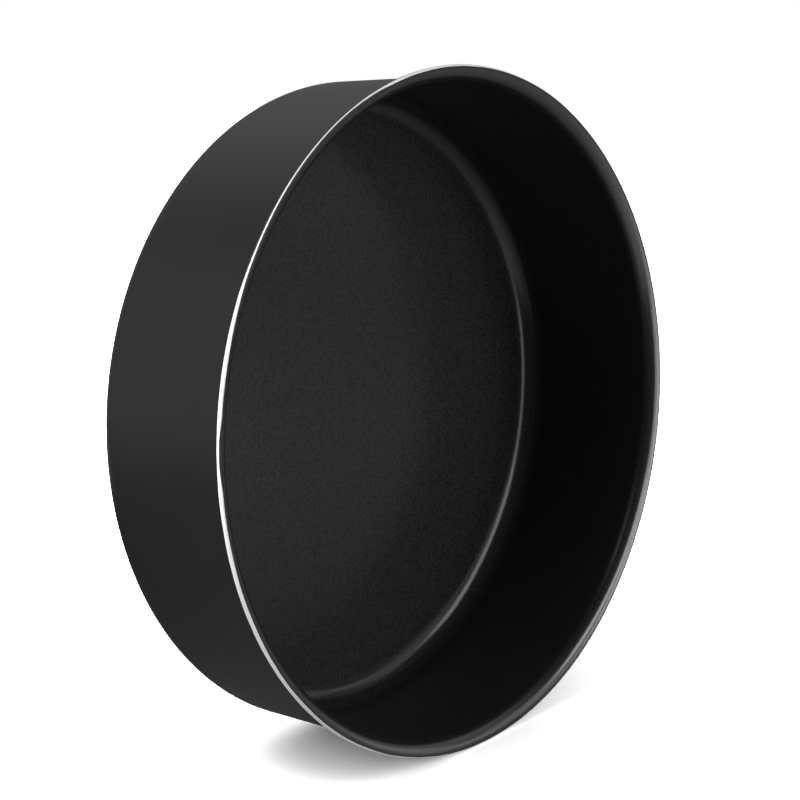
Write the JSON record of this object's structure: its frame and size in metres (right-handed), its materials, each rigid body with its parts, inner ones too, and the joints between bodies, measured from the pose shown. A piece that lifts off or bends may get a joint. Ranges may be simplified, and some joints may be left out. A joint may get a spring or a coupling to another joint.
{
  "type": "round baking tray",
  "caption": "Deep round baking tray: a drawn sheet pan with a rounded floor corner, a nearly upright wall and a small flared lip, dark non-stick inside and satin dark outside.",
  "frame": {"origin": "centre of the underside, on the surface the tray stands on", "axes": "+Z along the tray's axis, up through the opening; the tray is round about +Z, so +X and +Y are free"},
  "size_m": [0.28, 0.28, 0.074],
  "materials": {
    "bare_aluminium": "trimmed rim edge, fine satin",
    "nonstick_film": "matt black baked film with fine pale flecks",
    "satin_film": "satin black baked film"
  },
  "bodies": {
    "root": {"aluminium_body": "bare_aluminium", "inside_coating": "nonstick_film", "outside_coating": "satin_film"}
  },
  "joints": []
}
